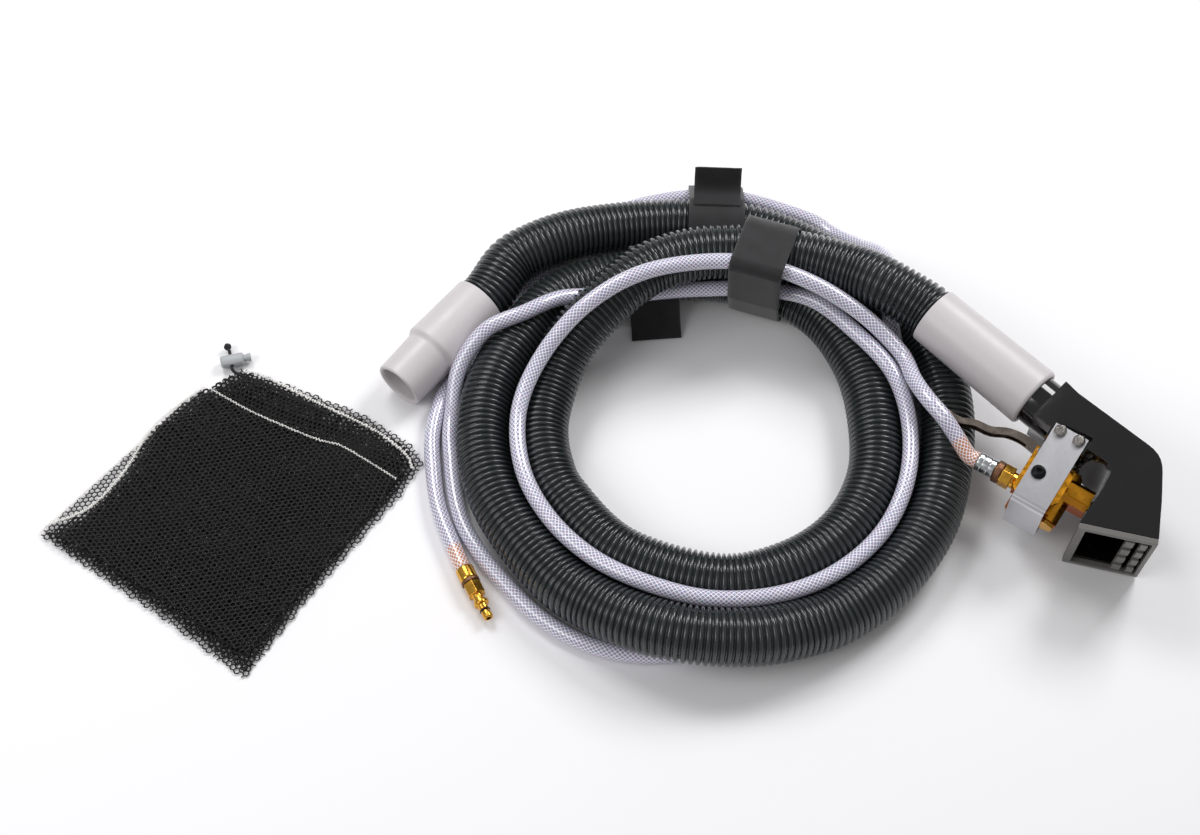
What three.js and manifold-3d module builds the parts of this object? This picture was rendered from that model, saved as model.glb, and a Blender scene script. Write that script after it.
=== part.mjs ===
// Spot extractor: a coiled vacuum hose and solution hose with a hand tool, its valve, and an accessory bag.
// Millimetres, +Z up. The hoses lie coiled on the floor, the hand tool lies on its side to the right of
// the coil, and the folded mesh bag lies to the left of it.
import * as THREE from "three";
import { mergeVertices } from "three/addons/utils/BufferGeometryUtils.js";
import Module from "manifold-3d";

const wasm = await Module();
wasm.setup();

// ---------- driving dimensions ----------
const gap = 0.3; // left between pieces that touch
const coilCentre = [103.56, -19.09, 0]; // the coil's centre, seen from the middle of what lies on the floor

const vacuumHose = { radius: 23, sides: 12, steps: 72 };
const solutionHose = { radius: 6.4, sides: 8, steps: 84 };
const straightEnd = { vacuum: 18, solution: 9 }; // each hose leaves its fitting straight for this far

const machineCuff = { at: [-205.5, 113.9, 31], heading: -129.2, noseDown: 4.6, length: 101, bore: 18 };
const toolCuff = { at: [189.4, 66.2, 77.5], heading: -45.1, noseDown: 5, length: 105, bore: 19 };
const toolRoll = 11.7; // the tool lies rolled about its axis, its mouth's lower corner on the floor

const spigot = { radius: 21.5, bore: 17.5, from: -25, to: 30 };
const flare = { from: 12, narrow: 22.5, to: 110, wide: 44 }; // half the tool's width along its length
const wall = 3.5;
const mouth = { front: [102, -77.5], rear: [154.5, -46.4], thickness: 5 };

const bracket = { at: [44.9, -13], turn: 11.5, width: 28.9, inside: 27.5, sheet: 2.5, length: 74.7, bend: 6 };
const screwRow = { spacing: 16.6, down: 4.8 };
const valveScrewAt = [-6.2, 44.5]; // across and down the bracket
const inletDown = 50;
const stem = { across: 17, top: 13.8, radius: 2.7, seat: 44 };
const outlet = { from: 17, to: 40, down: 37.5, half: [10, 12] };
const pivot = { across: -14, down: 20.5, radius: 2 };
const leverWidth = 9;
const ferruleEnd = -54;

const plug = { at: [-207.1, -134.5, 8], heading: -64 };
const bag = { thickness: 13, corners: [[-565, -98], [-455, 52], [-421, 64], [-245, -30], [-378, -234]] };
const cordLock = { at: [-419, 73.5, 6.2], heading: 14, length: 20, width: 12, height: 10, travel: 3.5 };
const drawcord = { radius: 1.5, sides: 8, steps: 10 };

// Each hose's route as [degrees round the coil, distance from its centre, height], from its first fitting.
const vacuumRoute = [
  [138, 236, 37.5], [131, 231, 39], [124, 226, 37], [116, 221, 32], [106, 216, 27], [96, 212, 25.5],
  [84, 208.5, 25.5], [74, 206.5, 25], [57, 200.5, 24], [39, 198, 24], [22, 203.5, 24], [5, 199.5, 24],
  [-13, 197, 24], [-30, 201, 24], [-47, 205, 24], [-62, 208, 25], [-72, 209, 29], [-82, 211, 35],
  [-92, 211, 38.5], [-101, 210, 38.5], [-110, 207, 34], [-120, 203, 28], [-132, 200, 24.5],
  [-153, 197, 24], [-171, 196, 24], [-189, 192, 24], [-207, 186, 24.5], [-225, 183, 25],
  [-244, 168, 25.5], [-265, 154, 25.5], [-288, 151, 25.8], [-311, 149, 24.4], [-334, 141, 24],
  [-358, 137, 24], [-383, 144, 24], [-406, 151, 24], [-428, 154, 24], [-451, 155, 24],
  [-482, 152, 24], [-509, 149, 24], [-523, 148, 24], [-537, 146, 24.5], [-551, 142, 29],
  [-565, 139, 41], [-578, 134, 55.5], [-593, 132, 66.5], [-608, 137, 71], [-623, 140, 73],
  [-637, 143, 74], [-651, 149, 74], [-664, 158, 75], [-676, 168, 78], [-686, 177, 82.5],
];
const solutionRoute = [
  [-11.3, 199, 62.5], [-7.9, 187, 69.5], [-2.6, 174.5, 69.5], [5, 167, 64], [16, 164, 60.5],
  [32, 147, 72], [52, 130, 84.5], [75, 120, 91.5], [101, 116, 93.5], [126, 119, 97],
  [148, 133, 85], [166, 151, 62], [183, 164, 50], [201, 171, 46], [218, 174, 44.5],
  [235, 176, 44.5], [252, 178, 46.5], [268, 180, 43], [285, 181, 41.5], [301, 180, 40],
  [318, 177, 40], [335, 171, 43], [353, 163, 46.5], [371, 154, 52], [390, 140, 56],
  [411, 136, 54], [433, 127, 47], [457, 126, 41.5], [475, 134.5, 40], [488, 151, 40],
  [500, 169, 51.5], [511, 184, 56.5], [519, 208, 50.5], [527, 222.5, 30], [535, 223.5, 11],
  [545, 224, 7.5], [564, 229, 7.5], [583, 228, 7.5], [596, 229, 7.5], [607, 226, 7.5],
  [618, 216, 7.5], [629, 202, 7.5], [640, 190, 7.5], [653, 182, 7.5], [668, 179, 7.5],
  [684, 175, 7.5], [701, 171, 7.5], [717, 169, 8], [734, 170.5, 20], [752, 182, 49.5],
  [760, 207, 55.5], [767, 224, 42], [774, 234, 22], [781, 243, 9], [788, 251, 7.5],
  [803, 257, 9.5], [813, 257, 9.5], [824, 255, 7.5], [834, 249, 7.5], [844, 238, 7.5],
  [853, 225, 7.5], [862, 214, 7.5], [871, 211, 7.5], [881, 217, 7.5], [890, 233, 7.5],
  [900, 239, 7.5], [909, 240, 7.5], [919, 243, 7.5],
];

// ---------- materials ----------
const finish = (color, roughness, metalness = 0) =>
  new THREE.MeshStandardMaterial({ color, roughness, metalness });
const glossBlack = finish("#0d0d0f", 0.15);
const mouthGrey = finish("#8a8789", 0.6);
const cuffGrey = finish("#cbc6c8", 0.5);
const hoseBlack = finish("#2c3032", 0.3);
const clearHose = finish("#d9d6e6", 0.35);
const aluminium = finish("#d3d3d8", 0.35, 1);
const castBrass = finish("#d99a2b", 0.35, 1);
const turnedBrass = finish("#e6b04a", 0.2, 1);
const brightSteel = finish("#b8b4b0", 0.22, 1);
const blackSteel = finish("#17181a", 0.4, 0.6);
const knurledBronze = finish("#7a5a48", 0.45, 1);
const zincPlate = finish("#c4c8ca", 0.3, 1);
const rubberBlack = finish("#141414", 0.7);
const strapBlack = finish("#1c1c20", 0.9);
const netBlack = finish("#1a1a1c", 0.85);
const clipGrey = finish("#b4b6b8", 0.5);

// ---------- shaping tools ----------
const radians = THREE.MathUtils.degToRad;

function toSolid(geometry) {
  const bare = geometry.clone();
  bare.deleteAttribute("normal");
  bare.deleteAttribute("uv");
  const merged = mergeVertices(bare, 1e-4);
  const vertProperties = new Float32Array(merged.attributes.position.array);
  return new wasm.Manifold(new wasm.Mesh({
    numProp: 3,
    vertProperties,
    triVerts: new Uint32Array(merged.index.array),
  }));
}

function toGeometry(solid) {
  const { vertProperties, triVerts } = solid.getMesh();
  const geometry = new THREE.BufferGeometry();
  geometry.setAttribute("position", new THREE.BufferAttribute(vertProperties, 3));
  geometry.setIndex(new THREE.BufferAttribute(triVerts, 1));
  geometry.computeVertexNormals();
  return geometry;
}

const join = (...parts) => toGeometry(parts.map(toSolid).reduce((a, b) => a.add(b)));
const cut = (base, ...tools) => toGeometry(tools.map(toSolid).reduce((a, b) => a.subtract(b), toSolid(base)));
const common = (a, b) => toGeometry(toSolid(a).intersect(toSolid(b)));

// A turned shape about the X axis, from [radius, along] points listed anticlockwise.
function turned(points, segments = 24) {
  const profile = points.map(([radius, along]) => new THREE.Vector2(radius, along));
  return new THREE.LatheGeometry(profile, segments).rotateZ(-Math.PI / 2);
}

const rod = (radius, from, to, segments = 24) =>
  turned([[0, from], [radius, from], [radius, to], [0, to]], segments);
const sleeve = (outer, inner, from, to, segments = 24) =>
  turned([[inner, from], [outer, from], [outer, to], [inner, to], [inner, from]], segments);
const hexagon = (acrossFlats, from, to) => rod(acrossFlats / Math.sqrt(3), from, to, 6);

// A turned shape stood along Y (downwards for positive lengths) or along Z, then moved into place.
const alongDown = (geometry, across, level = 0) => geometry.rotateZ(-Math.PI / 2).translate(across, 0, level);
const alongZ = (geometry, x, y) => geometry.rotateY(-Math.PI / 2).translate(x, y, 0);

function box(x, y, z) {
  const size = [x, y, z].map(([from, to]) => to - from);
  const middle = [x, y, z].map(([from, to]) => (from + to) / 2);
  return new THREE.BoxGeometry(...size).translate(...middle);
}

// An outline in X and Y, given thickness about Z = 0.
function slab(outline, thickness) {
  const shape = outline instanceof THREE.Shape ? outline : new THREE.Shape(outline.map(([x, y]) => new THREE.Vector2(x, y)));
  const geometry = new THREE.ExtrudeGeometry(shape, { depth: thickness, bevelEnabled: false, curveSegments: 5 });
  return geometry.translate(0, 0, -thickness / 2);
}

function tube(points, { radius, sides, steps }) {
  const path = new THREE.CatmullRomCurve3(points, false, "catmullrom", 0.5);
  path.arcLengthDivisions = 1600;
  const section = [];
  for (let i = 0; i < sides; i++) {
    const angle = (2 * Math.PI * i) / sides;
    section.push(new THREE.Vector2(radius * Math.cos(angle), radius * Math.sin(angle)));
  }
  return new THREE.ExtrudeGeometry(new THREE.Shape(section), { extrudePath: path, steps, bevelEnabled: false });
}

// A compression spring about the X axis.
function spring(radius, wire, from, to, turns) {
  const points = [];
  const perTurn = 10;
  for (let i = 0; i <= turns * perTurn; i++) {
    const angle = (2 * Math.PI * i) / perTurn;
    const along = from + ((to - from) * i) / (turns * perTurn);
    points.push(new THREE.Vector3(along, radius * Math.cos(angle), radius * Math.sin(angle)));
  }
  return tube(points, { radius: wire, sides: 6, steps: turns * perTurn });
}

function piece(name, geometry, material) {
  const mesh = new THREE.Mesh(geometry, material);
  mesh.name = name;
  return mesh;
}

// The direction of an axis that has a heading on the floor and dips nose down.
function axisOf({ heading, noseDown = 0 }) {
  const level = Math.cos(radians(noseDown));
  const x = Math.cos(radians(heading)) * level;
  const y = Math.sin(radians(heading)) * level;
  return new THREE.Vector3(x, y, -Math.sin(radians(noseDown)));
}

// A group whose X axis follows that direction.
function groupAlong({ at, heading, noseDown = 0 }, roll = 0) {
  const group = new THREE.Group();
  group.position.set(...at);
  group.rotation.set(radians(roll), radians(noseDown), radians(heading), "ZYX");
  return group;
}

const roundCoil = ([degrees, distance, height]) =>
  new THREE.Vector3(distance * Math.cos(radians(degrees)), distance * Math.sin(radians(degrees)), height);

// ---------- hand tool ----------
// X runs along the tool from its cuff, Y towards its back, Z up out of its upper side.
const mouthTurn = Math.atan2(mouth.rear[1] - mouth.front[1], mouth.rear[0] - mouth.front[0]);
const mouthLength = Math.hypot(mouth.rear[0] - mouth.front[0], mouth.rear[1] - mouth.front[1]);

// A point at a distance along the mouth from its front lip and a depth inside it.
function inMouth(along, depth) {
  const x = mouth.front[0] + along * Math.cos(mouthTurn) - depth * Math.sin(mouthTurn);
  const y = mouth.front[1] + along * Math.sin(mouthTurn) + depth * Math.cos(mouthTurn);
  return [x, y];
}

// The flared plan of the tool, drawn along X and Z, as a solid that is deep along Y.
function flaredPlan(inset, from) {
  const { narrow, wide, to } = flare;
  const outline = [[from, narrow - inset], [to, wide - inset], [200, wide - inset]];
  const mirrored = outline.map(([x, z]) => [x, -z]).reverse();
  return slab([...mirrored, ...outline], 400).rotateX(Math.PI / 2);
}

function bracketFrame(geometry) {
  return geometry.rotateZ(radians(bracket.turn)).translate(bracket.at[0], bracket.at[1], 0);
}

function toolBody() {
  const lip = mouth.thickness + gap;
  const side = new THREE.Shape();
  side.moveTo(flare.from, -20);
  side.lineTo(55, -18.5);
  side.lineTo(76, -17.5);
  side.quadraticCurveTo(90, -17.5, 92, -29);
  side.lineTo(95, -45);
  side.lineTo(97.5, -62);
  side.lineTo(...inMouth(0, lip));
  side.lineTo(...inMouth(mouthLength, lip));
  side.lineTo(133, -15);
  side.lineTo(119.5, 2.5);
  side.quadraticCurveTo(111, 14, 97, 14.5);
  side.lineTo(26, 17.5);
  side.lineTo(flare.from, 20);
  const shell = common(slab(side, 120), flaredPlan(0, flare.from));

  const chamber = new THREE.Shape();
  chamber.moveTo(48, -12);
  chamber.lineTo(82, -12.5);
  chamber.quadraticCurveTo(92, -14, 95.5, -28);
  chamber.lineTo(99, -45);
  chamber.lineTo(101.5, -62);
  chamber.lineTo(...inMouth(4, lip));
  chamber.lineTo(...inMouth(4, -10));
  chamber.lineTo(...inMouth(mouthLength - wall, -10));
  chamber.lineTo(...inMouth(mouthLength - wall, lip));
  chamber.lineTo(130, -17);
  chamber.lineTo(116.5, 0.5);
  chamber.quadraticCurveTo(110, 10.5, 97, 11);
  chamber.lineTo(48, 12);
  const hollow = common(slab(chamber, 120), flaredPlan(wall + 3, 40));

  // Flat pads on both sides that the bracket is screwed to, with a slot between them for the lever.
  const pads = [1, -1].map((side) =>
    bracketFrame(box([-16.5, 16.5], [-12.5, 6], side > 0 ? [13, 27.2] : [-27.2, -13])));
  const relief = [1, -1].map((side) =>
    bracketFrame(box([-16.5, 16.8], [-60, 2.5], side > 0 ? [27.2, 60] : [-60, -27.2])));
  const screwHoles = [1, -1].flatMap((side) => [-0.5, 0.5].map((step) =>
    bracketFrame(alongZ(rod(2.3, 22 * side - 6, 22 * side + 6, 12), step * screwRow.spacing, -screwRow.down))));
  const jetHole = bracketFrame(rod(4.4, 38, 52, 16).translate(0, -outlet.down, 0));

  const solid = join(shell, rod(spigot.radius, spigot.from, spigot.to, 32), ...pads);
  return cut(solid, rod(spigot.bore, spigot.from - 5, 60, 32), hollow, ...relief, ...screwHoles, jetHole);
}

// The mouth's frame with its suction slots: two rows of spacer teeth stand on ribs set back from its face.
function mouthInsert() {
  const half = flare.wide;
  const depth = mouth.thickness;
  const plate = box([0, mouthLength], [0, depth], [-half, half]);
  const openings = [[6, 38], [45, 49.5], [55, 57.5]].map(([from, to]) =>
    box([from, to], [-1, depth + 1], [4 - half, half - 4]));
  const setBack = [[37.9, 45.1], [49.4, 55.1]].map(([from, to]) => box([from, to], [-1, 2.5], [4 - half, half - 4]));
  const teeth = [[38, 45], [49.5, 55]].flatMap(([from, to]) =>
    [-30, -10, 10, 30].map((middle) => box([from, to], [0, 3.5], [middle - 6, middle + 6])));
  return join(cut(plate, ...openings, ...setBack), ...teeth).rotateZ(mouthTurn).translate(...mouth.front, 0);
}

// A brass nozzle through the front wall, turned inside the chamber to spray out of the mouth.
function sprayJet() {
  const shank = join(rod(4, 31, 48, 16), hexagon(12, 47.6, 56)).translate(0, -outlet.down, 0);
  const tipTurn = mouthTurn - Math.PI / 2 - radians(bracket.turn);
  const tip = rod(3.8, 0, 15, 16).rotateZ(tipTurn).translate(52, -outlet.down, 0);
  const orifice = box([12, 16], [-0.6, 0.6], [-3, 3]).rotateZ(tipTurn).translate(52, -outlet.down, 0);
  return cut(join(shank, tip), orifice);
}

const ring = (major, minor, along, segments = 20) =>
  new THREE.TorusGeometry(major, minor, 8, segments).rotateY(Math.PI / 2).translate(along, 0, 0);

// ---------- bracket and valve ----------
// X runs across the bracket, Y up its legs towards the tool, Z out of the upper leg.
function valveBracket() {
  const { inside, sheet, length, bend, width } = bracket;
  const outer = inside + sheet;
  const shape = new THREE.Shape();
  shape.moveTo(-outer, 0);
  shape.lineTo(-outer, bend - length);
  shape.absarc(bend - outer, bend - length, bend, Math.PI, 1.5 * Math.PI);
  shape.lineTo(outer - bend, -length);
  shape.absarc(outer - bend, bend - length, bend, -0.5 * Math.PI, 0);
  shape.lineTo(outer, 0);
  shape.lineTo(inside, 0);
  shape.lineTo(inside, bend - length);
  shape.absarc(outer - bend, bend - length, bend - sheet, 0, -0.5 * Math.PI, true);
  shape.lineTo(bend - outer, sheet - length);
  shape.absarc(bend - outer, bend - length, bend - sheet, 1.5 * Math.PI, Math.PI, true);
  shape.lineTo(-inside, 0);
  const strap = slab(shape, width).rotateY(Math.PI / 2);
  const screwHoles = [-0.5, 0.5].map((step) =>
    alongZ(rod(2.4, -40, 40, 12), step * screwRow.spacing, -screwRow.down));
  const valveHole = alongZ(rod(3.3, -40, 40, 16), valveScrewAt[0], -valveScrewAt[1]);
  return cut(strap, ...screwHoles, valveHole);
}

// A cross-recessed pan-head screw along +X, its head's seat at 0.
function panScrew() {
  const turnedScrew = turned([[0, -10], [2, -10], [2, 0], [4.6, 0], [4.6, 1.2], [3.4, 2.6], [0, 3]], 18);
  return cut(turnedScrew, box([1.4, 4], [-0.6, 0.6], [-2.6, 2.6]), box([1.4, 4], [-2.6, 2.6], [-0.6, 0.6]));
}

// A hexagon-socket button-head screw along +X, its head's seat at 0.
function buttonScrew() {
  const turnedScrew = turned([[0, -11], [3, -11], [3, 0], [6.2, 0], [5.4, 2], [3.4, 3.4], [0, 3.6]], 20);
  return cut(turnedScrew, hexagon(4, 1.6, 5));
}

// The cast body hangs between the bracket's legs: two cheeks, a block, the stem's tower and the outlet.
function valveBody() {
  const cheekOutline = [[-18, -34], [-18, -64], [-13, -68.4], [11, -68.4], [19, -58], [19, -33], [8, -27], [-8, -29]];
  const cheeks = [25.1, -25.1].map((level) => slab(cheekOutline, 4).translate(0, 0, level));
  const boss = alongZ(rod(8, -27, 27), valveScrewAt[0], -valveScrewAt[1]);
  const block = box([-14, 17], [-66, -39], [-13, 13]);
  const web = box([-13, 13], [-64, -56], [-24, 24]);
  const tower = alongDown(rod(9, 22, 68), stem.across);
  const inletBoss = rod(10, -19, -10).translate(0, -inletDown, 0);
  const [halfDown, halfLevel] = outlet.half;
  const bevel = 4;
  const outletSection = [[-1, -1], [1, -1], [1, 1], [-1, 1]].flatMap(([u, v]) => {
    const corner = [[u * (halfLevel - bevel), v * halfDown], [u * halfLevel, v * (halfDown - bevel)]];
    return u * v > 0 ? corner.reverse() : corner;
  });
  const outletBlock = slab(outletSection, outlet.to - outlet.from)
    .rotateY(Math.PI / 2)
    .translate((outlet.from + outlet.to) / 2, -outlet.down, 0);
  const blankPanel = box([22, 38], [-outlet.down - 5, -outlet.down + 5], [halfLevel - 1, halfLevel + 0.7]);
  const ears = [8.3, -8.3].map((level) =>
    slab([[-19, -17], [-9.5, -17], [-7, -40], [-14, -42], [-19, -30]], 4).translate(0, 0, level));
  const solid = join(block, ...cheeks, boss, web, tower, inletBoss, outletBlock, blankPanel, ...ears);

  const stemBore = alongDown(rod(3.1, 20, 60), stem.across);
  const sealPocket = alongDown(rod(4.7, 20, 25), stem.across);
  const springChamber = alongDown(rod(5.6, stem.seat, 70), stem.across);
  const inletBore = rod(5.9, -30, -11).translate(0, -inletDown, 0);
  const inletWay = rod(3.5, -20, 14, 12).translate(0, -inletDown, 0);
  const outletWay = rod(2.4, 17, 34, 12).translate(0, -outlet.down, 0);
  const jetBore = rod(4.3, 30.5, 50, 16).translate(0, -outlet.down, 0);
  const screwBore = alongZ(rod(3.3, -60, 60, 16), valveScrewAt[0], -valveScrewAt[1]);
  const pinBore = alongZ(rod(pivot.radius + gap, -20, 20, 16), pivot.across, -pivot.down);
  return cut(solid, stemBore, sealPocket, springChamber, inletBore, inletWay, outletWay, jetBore, screwBore, pinBore);
}

// The rod that the lever pushes, with the poppet's flange at its lower end.
function valveStem() {
  const { top, radius, seat } = stem;
  return turned([
    [0, top], [1, top], [radius, top + 1.2], [radius, seat + 2.5], [4.6, seat + 2.5],
    [4.6, seat + 4.2], [2.2, seat + 4.2], [2.2, seat + 9], [0, seat + 9],
  ], 16);
}

// A wavy channel of bent sheet: the grip to the left, its pivot, and the short arm over the stem.
function triggerLever() {
  const spine = [[-96.5, 27.5], [-84, 28.5], [-72, 24], [-58, 22.5], [-45, 16.5], [-30, 15], [-14, 18.5]];
  const curve = new THREE.SplineCurve(spine.map(([x, down]) => new THREE.Vector2(x, -down)));
  const upper = [];
  const lower = [];
  const steps = 22;
  for (let i = 0; i <= steps; i++) {
    const t = i / steps;
    const centre = curve.getPoint(t);
    const normal = curve.getTangent(t).rotateAround(new THREE.Vector2(), Math.PI / 2);
    const half = 2.4 + 1.1 * t;
    upper.push([centre.x + half * normal.x, centre.y + half * normal.y]);
    lower.push([centre.x - half * normal.x, centre.y - half * normal.y]);
  }
  const arm = [[-9, -23.5], [15, -13.5], [19, -13.5], [19, -10.2], [14, -10.2], [-9, -14.2]];
  const bar = slab([...lower, ...arm, ...upper.reverse()], leverWidth);
  const channel = slab([...lower.slice(1, -3).map(([x, y]) => [x, y - 4]),
    ...lower.slice(1, -3).map(([x, y]) => [x, y + 3.4]).reverse()], leverWidth - 2.6);
  const hole = alongZ(rod(pivot.radius + gap, -20, 20, 16), pivot.across, -pivot.down);
  return cut(bar, channel, hole);
}

function inletFitting() {
  const fitting = join(
    rod(5.5, -26, -12),
    rod(7, -23.4, -19 - gap),
    hexagon(17, -32, -23),
    rod(4.6, ferruleEnd + gap, -31),
  );
  return cut(fitting, rod(2.8, -80, 0, 12)).translate(0, -inletDown, 0);
}

// ---------- plug on the solution hose's far end ----------
function plugBody() {
  const turnedBody = turned([
    [2.2, 15.3], [5.4, 15.3], [5.4, 27], [4.5, 28], [4.5, 33], [6.2, 33.6], [6.2, 36.4],
    [4, 37], [4, 41], [3.2, 41], [3.2, 43.4], [4, 43.4], [4, 49], [3.4, 50], [2.2, 50], [2.2, 15.3],
  ]);
  const hex = cut(hexagon(13.4, 15.3, 27), rod(2.2, 10, 30, 24));
  return join(turnedBody, hex);
}

// ---------- straps ----------
// The outline round a bundle of circles [across, height, radius], kept a clearance off them.
function roundBundle(circles, clearance) {
  const outline = [];
  const sides = 30;
  for (let i = 0; i < sides; i++) {
    const angle = (2 * Math.PI * i) / sides;
    const reach = ([x, y, r]) => x * Math.cos(angle) + y * Math.sin(angle) + r;
    const [x, y, r] = circles.reduce((best, next) => (reach(next) > reach(best) ? next : best));
    const radius = r + clearance;
    outline.push(new THREE.Vector2(x + radius * Math.cos(angle), y + radius * Math.sin(angle)));
  }
  return outline;
}

// A strap is a closed loop whose width follows the hoses, with or without a free tail. Its own frame has
// X away from the coil's centre, Y along the hoses and Z up.
const strapSheet = 1.4;
const strapClearance = 0.5;

function strap({ name, degrees, distance, turn = 0, width, bundle, tail, tailWidth }) {
  const loop = new THREE.Shape(roundBundle(bundle, strapClearance + strapSheet));
  loop.holes.push(new THREE.Path(roundBundle(bundle, strapClearance)));
  const band = slab(loop, width);
  const geometry = tail ? join(band, slab(strip(tail), tailWidth)) : band;
  const mesh = piece(name, geometry.rotateX(Math.PI / 2), strapBlack);
  mesh.position.copy(roundCoil([degrees, distance, 0]));
  mesh.rotation.z = radians(degrees + turn);
  return mesh;
}

// A strip of the strap's thickness along [across, height] points.
function strip(points) {
  const thick = strapSheet / 2;
  const offset = (side) => points.map(([x, y], i) => {
    const [x0, y0] = points[Math.max(i - 1, 0)];
    const [x1, y1] = points[Math.min(i + 1, points.length - 1)];
    const length = Math.hypot(x1 - x0, y1 - y0);
    return [x - (side * thick * (y1 - y0)) / length, y + (side * thick * (x1 - x0)) / length];
  });
  return [...offset(1), ...offset(-1).reverse()];
}

// ---------- bag ----------
function roundedOutline(corners, radius) {
  const shape = new THREE.Shape();
  const points = corners.map(([x, y]) => new THREE.Vector2(x, y));
  points.forEach((corner, i) => {
    const before = points[(i + points.length - 1) % points.length];
    const after = points[(i + 1) % points.length];
    const start = corner.clone().add(before.clone().sub(corner).setLength(radius));
    const end = corner.clone().add(after.clone().sub(corner).setLength(radius));
    if (i) shape.lineTo(start.x, start.y);
    else shape.moveTo(start.x, start.y);
    shape.quadraticCurveTo(corner.x, corner.y, end.x, end.y);
  });
  return shape;
}

// A spring clip on the drawcord: X along its barrel, the button at +X. Pressed, the button's slot lines up
// with the barrel's cross hole and frees the cord. The button is hollow round the spring.
const clipHalf = cordLock.length / 2;
const clipBoreEnd = 2 - clipHalf;

function cordLockBody() {
  const { width, height } = cordLock;
  const barrel = turned([
    [0, -clipHalf], [4.6, -clipHalf], [6, 1.6 - clipHalf], [6, clipHalf - 1], [5, clipHalf], [0, clipHalf],
  ], 20).scale(1, width / 12, height / 12);
  const bore = rod(3.7, clipBoreEnd, clipHalf + 1, 16);
  const cordWay = rod(2, -10, 10, 12).rotateZ(Math.PI / 2).translate(-1, 0, 0);
  return cut(barrel, bore, cordWay);
}

function cordLockButton() {
  const capFrom = clipHalf + cordLock.travel + gap;
  const button = join(rod(3.4, -4.2, capFrom + 1, 16), rod(3.9, capFrom, capFrom + 2.6, 16));
  return cut(button, box([-2.8, 4.3], [-5, 5], [-1.9, 1.9]), rod(2.6, -5, -0.6, 14));
}

// The drawcord's tied end, out through the clip and knotted beyond it.
function drawcordEnd() {
  const points = [[-1, -10, 0], [-1, 0, 0], [-1, 9, 0.4], [-2, 16, -1]].map((p) => new THREE.Vector3(...p));
  return join(tube(points, drawcord), new THREE.SphereGeometry(3, 12, 8).translate(-2, 16.5, -1));
}

// ---------- assembly ----------
const machineEnd = groupAlong(machineCuff);
machineEnd.add(piece("machine_cuff", turned([
  [machineCuff.bore, gap], [25, gap], [26.4, 53], [26.4, 57], [23.2, 60.5], [22, machineCuff.length - 1],
  [21, machineCuff.length], [19, machineCuff.length], [machineCuff.bore, machineCuff.length - 2],
  [machineCuff.bore, gap],
], 32), cuffGrey));

const toolEnd = groupAlong(toolCuff);
toolEnd.add(piece("tool_cuff", turned([
  [toolCuff.bore, gap], [24.5, gap], [26.25, toolCuff.length - 2.5], [24.6, toolCuff.length],
  [spigot.radius + gap, toolCuff.length], [spigot.radius + gap, toolCuff.length + spigot.from - 1],
  [toolCuff.bore, toolCuff.length + spigot.from - 1], [toolCuff.bore, gap],
], 32), cuffGrey));

const tool = groupAlong({ ...toolCuff, at: [0, 0, 0] }, toolRoll);
tool.position.copy(axisOf(toolCuff).multiplyScalar(toolCuff.length)).add(new THREE.Vector3(...toolCuff.at));
tool.add(
  piece("tool_body", toolBody(), glossBlack),
  piece("mouth_insert", mouthInsert(), mouthGrey),
);

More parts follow.
